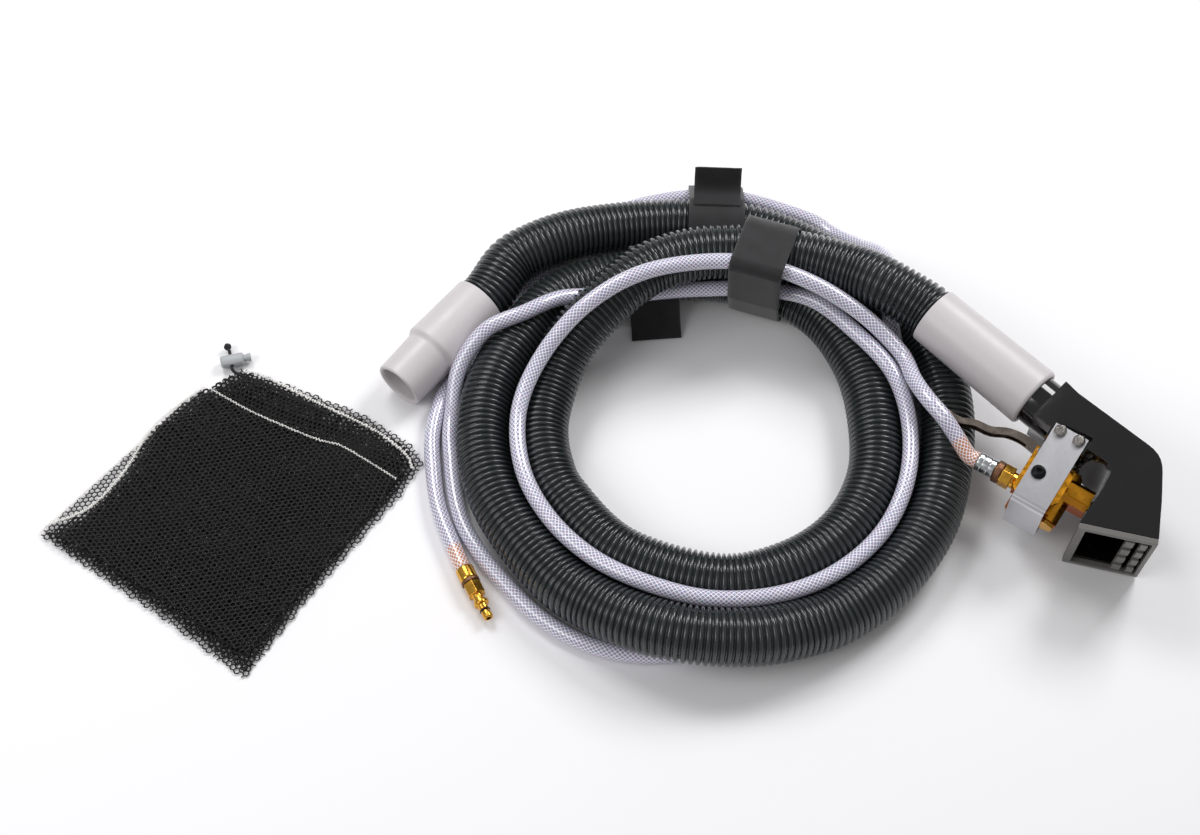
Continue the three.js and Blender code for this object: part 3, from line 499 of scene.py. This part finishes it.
machineCuffPiece = lathe("machine_cuff_moulding", [
    (23.6, -6), (25.2, -6), (25.4, 10), (26.4, 52), (26.6, 57), (23.4, 61), (22.2, 100), (21.4, 101.4),
    (19.2, 101.4), (18.2, 99), (18.2, 10), (23.6, 9)], placing(machineCuff), cuffVinyl, radius=1.6, steps=5)
shown(machineCuffPiece, "extractor", "machine_cuff", slot="cuff_grey")
toolCuffPiece = lathe("tool_cuff_moulding", [
    (23.6, -6), (24.8, -6), (26.4, 103), (24.8, 105.2), (21.9, 105.2), (21.9, 79), (19, 78), (19, 10),
    (23.6, 9)], placing(toolCuff), cuffVinyl, radius=1.4, steps=5)
shown(toolCuffPiece, "extractor", "tool_cuff", slot="cuff_grey")
print("stage: vacuum hose made")

# Tool and valve frames
cuffEnd = Matrix.Translation(backFrom(toolCuff, -toolCuff["length"]) * mm)
toolPlace = cuffEnd @ placing(toolCuff).to_3x3().to_4x4()
toolPlace = toolPlace @ Matrix.Rotation(math.radians(toolShell["roll"]), 4, "X")
valvePlace = toolPlace @ Matrix.Translation(Vector(bracketSheet["at"]) * mm)
valvePlace = valvePlace @ Matrix.Rotation(math.radians(bracketSheet["turn"]), 4, "Z")
inletPlace = valvePlace @ Matrix.Translation((0, -inlet["reach"] * mm, 0))
ferruleMouth = inletPlace @ Vector((-inlet["ferruleMouth"] * mm, 0, 0))
hoseOut = inletPlace @ Vector((-inlet["hoseOut"] * mm, 0, 0))

# Solution hose
solutionPoints = [ferruleMouth / mm, hoseOut / mm, *map(roundCoil, solutionRoute),
                  backFrom(plug, solutionHose["straight"]), backFrom(plug, 0)]
solutionLine, solutionLength = smoothLine(solutionPoints, solutionHose["step"])
solutionRadii = np.full(len(solutionLine), float(solutionHose["radius"]))
uvStep = solutionLength / (len(solutionLine) - 1)
solution = tubeMesh("solution_hose_braided", solutionLine, solutionRadii, solutionHose["sides"],
                    braidMaterial(solutionLength), uvStep)
shown(solution, "extractor", "solution_hose", slot="clear_braided")

plugPlace = placing(plug)
plugPieces = [
    shown(lathe("plug_nipple", [
        (2.2, 15.3), (5.4, 15.3), (5.4, 27), (4.5, 28), (4.5, 33), (6.2, 33.6), (6.2, 36.4), (4, 37),
        (4, 41), (3.2, 41.2), (3.2, 43.2), (4, 43.4), (4, 49), (3.4, 50), (2.2, 50)],
        plugPlace, turnedBrass, 64, 0.35), "extractor"),
    shown(lathe("plug_ferrule_turned", [(5, 0.3), (7.2, 0.3), (7.6, 1.5), (7.6, 10.8), (7.2, 12), (5, 12)],
                plugPlace, turnedBrass, 64, 0.5), "extractor", "plug_ferrule", slot="turned_brass"),
    shown(lathe("plug_collar_knurled", [(5, 12.3), (7.8, 12.3), (7.8, 15), (5, 15)],
                plugPlace, knurledBronze, 64, 0.3), "extractor", "plug_collar", slot="knurled_bronze"),
    moved("plug_body", "plug_hexagon", turnedBrass, "extractor", 0.3, slot="turned_brass"),
    moved("plug_barb", "plug_barb_turned", turnedBrass, "extractor", 0.2, slot="turned_brass"),
    moved("plug_seal", "plug_seal_ring", sealRubber, "extractor", slot="seal_rubber"),
]
shown(lathe("inlet_crimp", [(5, -54), (7.5, -54), (7.9, -53), (7.9, -50), (7.5, -49.5), (7.9, -49),
                            (7.9, -44), (7.5, -43.5), (7.9, -43), (7.9, -39.3), (7.5, -38.3), (5, -38.3)],
            inletPlace, zincCrimp, 64, 0.3), "extractor", "inlet_ferrule", slot="zinc_plate")
shown(lathe("inlet_collar_knurled", [(4.9, -38), (9.2, -38), (9.6, -37.4), (9.6, -33), (9.2, -32.3),
                                     (4.9, -32.3)],
            inletPlace, knurledBronze, 64, 0.3), "extractor", "inlet_collar", slot="knurled_bronze")
print("stage: solution hose made")

# Hand tool and valve
moved("tool_body", "tool_shell", toolPlastic, "extractor", toolShell["edge"], 5, "gloss_black_plastic")
shown(lathe("tool_spigot", [(20.4, -24), (21.65, -24), (21.65, 13.5), (20.4, 13.5)],
            toolPlace, toolPlastic, 96, 0.3), "extractor", slot="gloss_black_plastic")
moved("mouth_insert", "mouth_plate", mouthPlastic, "extractor", 0.5, 2, "mouth_grey")
moved("valve_bracket", "bracket_sheet", brushedAluminium, "extractor", 0.4, 2, "bracket_aluminium")
moved("valve_body", "valve_casting", castBrass, "extractor", 0.7, 3, "cast_brass")
moved("trigger_lever", "lever_channel", leverMetal, "lever", 0.5, 3, "bright_steel")
for node, name, body in [("valve_stem", "stem_rod", "stem"), ("return_spring", "spring_coil", "stem"),
                         ("lever_pin", "pivot_pin", "extractor")]:
    moved(node, name, stainless, body, 0.15, slot="bright_steel")
for node in ("spray_jet", "valve_bonnet", "valve_cap", "inlet_fitting"):
    moved(node, node + "_turned", turnedBrass, "extractor", 0.35, slot="turned_brass")
for node, body in [("jet_seal", "extractor"), ("stem_seal", "extractor"), ("poppet_seal", "stem")]:
    moved(node, node + "_ring", sealRubber, body, slot="seal_rubber")
for number in (1, 2, 3, 4):
    moved(f"bracket_washer_{number}", f"washer_{number}", stainless, "extractor", 0.12,
          slot="bright_steel")
    moved(f"bracket_screw_{number}", f"pan_screw_{number}", stainless, "extractor", 0.1,
          slot="bright_steel")
for number in (1, 2):
    moved(f"valve_screw_{number}", f"button_screw_{number}", blackScrew, "extractor", 0.3,
          slot="black_steel")
moved("cord_lock_body", "clip_barrel", clipPlastic, "extractor", 0.3, slot="clip_grey")
moved("cord_lock_button", "clip_plunger", clipPlastic, "clip_button", 0.3, slot="clip_grey")
moved("cord_lock_spring", "clip_coil", stainless, "extractor", slot="bright_steel")
print("stage: tool and valve made")


# Straps: each a band of webbing whose closed loop follows the hoses that it holds.
def bundleOutline(circles, clearance, count):
    outline = []
    for i in range(count):
        angle = 2 * math.pi * i / count
        reach = [x * math.cos(angle) + y * math.sin(angle) + r for x, y, r in circles]
        x, y, r = circles[int(np.argmax(reach))]
        radius = r + clearance
        outline.append((x + radius * math.cos(angle), y + radius * math.sin(angle)))
    return outline


# The line is the band's middle as (across, height). Its width runs along the hoses.
def band(name, line, closed, width, sheet, place, node=None, ripple=0.0):
    columns = straps["columns"]
    half = width / 2
    points = np.array(line, float)
    if closed:
        ahead, behind = np.roll(points, -1, 0), np.roll(points, 1, 0)
    else:
        ahead, behind = np.vstack([points[1:], points[-1:]]), np.vstack([points[:1], points[:-1]])
    tangents = ahead - behind
    tangents /= np.linalg.norm(tangents, axis=1)[:, None]
    normals = np.stack([tangents[:, 1], -tangents[:, 0]], axis=1)
    vertices = []
    rows = len(points)
    for side in (1, -1):
        for i in range(rows):
            for k in range(columns):
                s = 2 * k / (columns - 1) - 1
                edge = 1 - 0.45 * max(0.0, abs(s) - 0.92) / 0.08
                wave = ripple * math.sin(i * 0.35 + k * 0.9) * abs(s) ** 3
                x, z = points[i] + normals[i] * (side * sheet / 2 * edge + wave)
                vertices.append(place @ Vector((x * mm, s * half * mm, z * mm)))
    layer = rows * columns
    faces = []
    last = rows if closed else rows - 1
    for i in range(last):
        j = (i + 1) % rows
        for k in range(columns - 1):
            a, b = i * columns + k, i * columns + k + 1
            c, d = j * columns + k + 1, j * columns + k
            faces.append((a, b, c, d))
            faces.append((layer + d, layer + c, layer + b, layer + a))
        for k in (0, columns - 1):
            a, b = i * columns + k, j * columns + k
            faces.append((a, b, layer + b, layer + a))
    if not closed:
        for i in (0, rows - 1):
            for k in range(columns - 1):
                a, b = i * columns + k, i * columns + k + 1
                faces.append((a, b, layer + b, layer + a))
    made = meshObject(name, vertices, faces, webbing)
    faceOut(made.data)
    steps = np.diff(np.vstack([points, points[:1]]) if closed else points, axis=0)
    perimeter = np.linalg.norm(steps, axis=1).sum()
    shown(made, "extractor", *([node] if node else []), slot="strap_webbing")
    return perimeter


strapList = [
    {"number": 1, "degrees": 87.5, "distance": 209, "turn": 0, "width": 50,
     "bundle": [(1, 25.5, 23.5), (-3, 25.5, 23.5), (49, 9.6, 7.1), (46.5, 9.6, 7.1)],
     "tail": [(3, 51.5), (10, 52.6), (17, 54), (22, 58), (25.5, 65), (28, 74)], "tailWidth": 42},
    {"number": 2, "degrees": 71, "distance": 150, "turn": 0, "width": 46,
     "bundle": [(1.5, 25.5, 23.5), (-3, 25.5, 23.5), (1.6, 74.2, 23.5), (-8.2, 74.2, 23.5),
                (-34.8, 92.4, 7.1), (-26.5, 88, 7.1), (-27.8, 46, 7.1)]},
    {"number": 3, "degrees": 108, "distance": 162.7, "turn": -13, "width": 36,
     "bundle": [(0.5, 25.5, 23.5), (-3, 25.5, 23.5)],
     "tail": [(-28, 28), (-33, 22.5), (-38, 16), (-43, 10), (-49, 4.5), (-55, 1.3)], "tailWidth": 44},
]
for strap in strapList:
    turned = Matrix.Rotation(math.radians(strap["degrees"] + strap["turn"]), 4, "Z")
    middle = roundCoil((strap["degrees"], strap["distance"], 0)) * mm
    place = Matrix.Translation(middle) @ turned
    name = f"strap_{strap['number']}"
    loop = bundleOutline(strap["bundle"], straps["clearance"] + straps["sheet"] / 2, 140)
    held = band(name + "_loop", loop, True, strap["width"], straps["sheet"], place, name, 0.25)
    if "tail" in strap:
        tail = [Vector((x, y, 0)) for x, y in strap["tail"]]
        fine, _ = smoothLine(tail, 1.5)
        band(name + "_tail", fine[:, :2], False, strap["tailWidth"], straps["sheet"], place, None, 0.5)
    print("stage:", name, "is", round(held), "mm round")


# Bag: four folded layers of knitted net
def insideOf(points, polygon):
    x, y = points[:, 0], points[:, 1]
    hit = np.zeros(len(points), bool)
    for (x0, y0), (x1, y1) in zip(polygon, polygon[1:] + polygon[:1]):
        crossing = (y0 > y) != (y1 > y)
        with np.errstate(divide="ignore", invalid="ignore"):
            at = (x1 - x0) * (y - y0) / (y1 - y0) + x0
        hit ^= crossing & (x < at)
    return hit


# The net's height: slack waves that run across the fold, flatter in the layers beneath.
def drape(points, level, seed):
    x, y = points[:, 0], points[:, 1]
    u = 0.82 * x + 0.57 * y
    v = -0.57 * x + 0.82 * y
    wave = np.sin(v / 23 + 0.9 * np.sin(u / 61 + seed)) + 0.6 * np.sin(u / 37 - v / 71 + 2 * seed)
    wave += 0.35 * np.sin(v / 11 + u / 53 + 3 * seed)
    return level + 0.9 * wave * min(1, level / 4)


def netLayer(name, polygon, level, turn, seed, stretch, strand, material):
    size = net["cell"]
    side = size / math.sqrt(3)
    polygon = [tuple(p) for p in polygon]
    xs, ys = zip(*polygon)
    middle = np.array([(min(xs) + max(xs)) / 2, (min(ys) + max(ys)) / 2])
    reach = math.hypot(max(xs) - min(xs), max(ys) - min(ys)) / 2 + 10
    span = int(reach / size / 0.85) + 2
    columns, rows = np.meshgrid(np.arange(-span, span), np.arange(-span, span))
    ax = (columns + 0.5 * (rows % 2)) * size
    ay = rows * 1.5 * side
    joints = []
    links = []
    for dx, dy in ((0, 0), (0, side)):
        joints.append(np.stack([ax + dx, ay + dy], axis=-1).reshape(-1, 2))
    width = 2 * span

    def index(row, column, kind):
        return kind * width * width + (row + span) * width + (column + span)

    for row in range(-span, span - 1):
        odd = row % 2
        for column in range(-span + 1, span - 1):
            lower = index(row, column, 0)
            upper = index(row, column, 1)
            links.append((lower, upper))
            links.append((upper, index(row + 1, column + odd, 0)))
            links.append((upper, index(row + 1, column + odd - 1, 0)))
    flat = np.concatenate(joints) * np.array(stretch)
    turnBy = math.radians(turn)
    turned = flat @ np.array([[math.cos(turnBy), math.sin(turnBy)],
                              [-math.sin(turnBy), math.cos(turnBy)]])
    x, y = turned[:, 0], turned[:, 1]
    bent = np.stack([x + 3.5 * np.sin(y / 38 + seed) + 1.6 * np.sin(y / 17 + x / 90),
                     y + 3.0 * np.sin(x / 43 + 2 * seed)], axis=1) + middle
    bent += chance.normal(0, 0.08, bent.shape)
    height = drape(bent, level, seed)
    spots = np.column_stack([bent, height])
    keep = insideOf(bent, polygon)
    links = np.array(links)
    links = links[keep[links[:, 0]] & keep[links[:, 1]]]
    a, b = spots[links[:, 0]], spots[links[:, 1]]
    along = b - a
    along /= np.linalg.norm(along, axis=1)[:, None]
    across = np.cross(along, (0, 0, 1))
    across /= np.linalg.norm(across, axis=1)[:, None]
    over = np.cross(across, along)
    a = a - along * 0.25
    b = b + along * 0.25
    corners = [across * strand, over * strand * 0.8, -across * strand, -over * strand * 0.8]
    vertices = np.stack([end + c for end in (a, b) for c in corners], axis=1)
    count = len(links)
    base = np.arange(count)[:, None] * 8
    quads = []
    for k in range(4):
        j = (k + 1) % 4
        quads.append(np.hstack([base + k, base + j, base + 4 + j, base + 4 + k]))
    quads.append(np.hstack([base + 3, base + 2, base + 1, base]))
    quads.append(np.hstack([base + 4, base + 5, base + 6, base + 7]))
    faces = np.concatenate(quads)
    made = meshObject(name, (vertices.reshape(-1, 3) * mm).tolist(), faces.tolist(), material)
    shoelace = sum(x0 * y1 - x1 * y0 for (x0, y0), (x1, y1) in zip(polygon, polygon[1:] + polygon[:1]))
    area = abs(shoelace) / 2
    print("stage:", name, "has", count, "strands over", round(area), "mm2")
    return made, area, (max(xs) - min(xs), max(ys) - min(ys))


bagOutline = [(-458, -118), (-398, -42), (-341, 29), (-334, 24), (-322, 38), (-309, 50), (-285, 41),
              (-249, 26), (-199, 3), (-155, -28), (-141, -48), (-160, -82), (-230, -180), (-274, -250),
              (-345, -197), (-420, -146)]
foldedPart = [(-452, -119), (-418, -95), (-394, -58), (-378, -18), (-357, 8), (-337, 26), (-322, 36),
              (-306, 44), (-284, 36), (-248, 20), (-200, -4), (-158, -34), (-148, -50), (-165, -80),
              (-232, -178), (-274, -244), (-345, -192), (-420, -142)]
upperPart = [(-440, -124), (-410, -93), (-388, -56), (-372, -16), (-352, 8), (-329, 21), (-290, -3),
             (-236, -29), (-210, -38), (-164, -70), (-176, -92), (-236, -176), (-274, -232),
             (-340, -186), (-412, -138)]
middlePart = [(-445, -122), (-412, -96), (-390, -60), (-372, -14), (-330, 22), (-300, 36), (-262, 18),
              (-210, -10), (-162, -40), (-156, -56), (-172, -86), (-236, -177), (-274, -236),
              (-342, -188), (-414, -140)]
# Each layer: name, outline, height, turn, seed, stretch, half strand and yarn.
layers = [
    ("bag_net_lowest", bagOutline, 1.6, 12, 0.4, (1.0, 1.0), net["strand"], netYarn),
    ("bag_net_folded", foldedPart, 4.0, 52, 1.3, (1.05, 0.95), net["underStrand"], underYarn),
    ("bag_net_middle", middlePart, 6.0, -24, 2.2, (0.92, 1.04), net["underStrand"], underYarn),
    ("bag_net_upper", upperPart, 9.2, 8, 3.1, (1.08, 0.9), net["strand"], netYarn),
]
for name, *shape in layers:
    made, area, extent = netLayer(name, *shape)
    replaced = ["accessory_bag"] if name == "bag_net_lowest" else []
    shown(made, "extractor", *replaced, slot="net_black")


# Overlock thread along a hem: short slanted stitches, no two quite alike.
def stitching(name, points, level, width, step, thick):
    line, _ = smoothLine([Vector((x, y, level)) for x, y in points], step)
    vertices = []
    faces = []
    tangents = np.gradient(line, axis=0)
    tangents /= np.linalg.norm(tangents, axis=1)[:, None]
    for i, (spot, tangent) in enumerate(zip(line, tangents)):
        side = np.cross((0, 0, 1), tangent)
        lean = chance.uniform(0.1, 0.5)
        half = width / 2 * chance.uniform(0.55, 1.1)
        spot = spot + side * chance.uniform(-0.3, 0.3) + np.array([0, 0, chance.uniform(-0.25, 0.25)])
        direction = side * (1 if i % 2 else -1) + tangent * lean * 2
        direction /= np.linalg.norm(direction)
        across = np.cross(direction, (0, 0, 1))
        start = len(vertices)
        for end, swell in ((-1, 0.5), (-0.4, 1), (0.4, 1), (1, 0.5)):
            for c in (across, np.array([0, 0, 1.0]), -across, np.array([0, 0, -1.0])):
                vertices.append((spot + direction * half * end + c * thick * swell) * mm)
        for r in range(3):
            for k in range(4):
                a, b = start + 4 * r + k, start + 4 * r + (k + 1) % 4
                faces.append((a, b, b + 4, a + 4))
        faces.append((start + 3, start + 2, start + 1, start))
        faces.append((start + 12, start + 13, start + 14, start + 15))
    made = meshObject(name, vertices, faces, stitchThread)
    return shown(made, "extractor", slot="net_black")


bandInner = [(-452, -112), (-418, -94), (-394, -58), (-378, -18), (-357, 8), (-337, 26)]
bandOuter = [(-456, -116), (-430, -84), (-400, -46), (-372, -12), (-352, 14), (-340, 28)]
hemLine = [(-329, 21), (-290, -3), (-236, -29), (-210, -38), (-164, -69)]
channel = [(-303, 42), (-285, 36), (-235, 8), (-186, -19), (-158, -43), (-151, -57)]
seams = [
    stitching("bag_edge_inner", bandInner, 6.4, 4.2, 0.9, 0.42),
    stitching("bag_edge_outer", bandOuter, 3.2, 4.0, 1.1, 0.42),
    stitching("bag_hem_stitches", hemLine, 10.8, 2.6, 1.5, 0.5),
    stitching("bag_channel_stitches", channel, 8.6, 3.6, 2.4, 1.0),
]

# Drawcord: from the knot beyond the clip, through the clip and along the hem channel.
clipPlace = placing(clip)
cordPoints = [(-2, 16, -1), (-1, 9, 0.4), (-1, 0, 0), (-1, -10, 0)]
cordWorld = [clipPlace @ (Vector(p) * mm) / mm for p in cordPoints]
cordWorld += [Vector((-306, 40, 4)), Vector((-286, 32, 4)), Vector((-256, 16, 4)), Vector((-226, 0, 4))]
cordLine, cordLength = smoothLine(cordWorld, drawcordSize["step"])
drawcordRadii = np.full(len(cordLine), drawcordSize["radius"])
drawcord = tubeMesh("drawcord_braided", cordLine, drawcordRadii, drawcordSize["sides"], drawcordYarn)
shown(drawcord, "extractor", "bag_drawcord", slot="net_black")
knot = bpy.data.meshes.new("drawcord_knot")
work = bmesh.new()
bmesh.ops.create_icosphere(work, subdivisions=4, radius=0.003)
for vertex in work.verts:
    swirl = math.sin(vertex.co.x * 1800 + vertex.co.z * 2600)
    vertex.co *= 1 + 0.12 * swirl
    vertex.co += clipPlace @ Vector((-0.002, 0.0165, -0.001))
work.to_mesh(knot)
work.free()
knot.materials.append(drawcordYarn)
knot.polygons.foreach_set("use_smooth", [True] * len(knot.polygons))
knotPiece = bpy.data.objects.new("drawcord_knot", knot)
bpy.context.collection.objects.link(knotPiece)
shown(knotPiece, "extractor", slot="net_black")
print("stage: bag made")

# Room: a pale floor under soft studio light
floorMaterial = newMaterial("pale studio floor", room["floor"], 0.75)[0]
half = room["floorHalf"]
floorCorners = [(-half, -half, 0), (half, -half, 0), (half, half, 0), (-half, half, 0)]
floor = meshObject("floor", floorCorners, [(0, 1, 2, 3)], floorMaterial, False)
floor.location.z = -room["floorDrop"]
world = bpy.data.worlds.new("studio")
bpy.context.scene.world = world
world.use_nodes = True
background = world.node_tree.nodes["Background"]
background.inputs["Color"].default_value = linear(room["light"])
background.inputs["Strength"].default_value = room["strength"]


def softbox(name, at, aim, size, power):
    light = bpy.data.lights.new(name, "AREA")
    light.shape = "RECTANGLE"
    light.size, light.size_y = size
    light.energy = power
    made = bpy.data.objects.new(name, light)
    bpy.context.collection.objects.link(made)
    made.location = at
    made.rotation_euler = (Vector(aim) - Vector(at)).to_track_quat("-Z", "Y").to_euler()


for lamp in lights:
    softbox(**lamp)

camera = bpy.data.cameras.new("camera")
camera.lens = lookFrom["lens"]
camera.sensor_width = lookFrom["sensor"]
viewer = bpy.data.objects.new("camera", camera)
bpy.context.collection.objects.link(viewer)
viewer.location = lookFrom["at"]
looking = Vector(lookFrom["aim"]) - viewer.location
viewer.rotation_euler = looking.to_track_quat("-Z", "Y").to_euler()
bpy.context.scene.camera = viewer
bpy.context.scene.view_settings.view_transform = "Standard"

print("stage: room made")
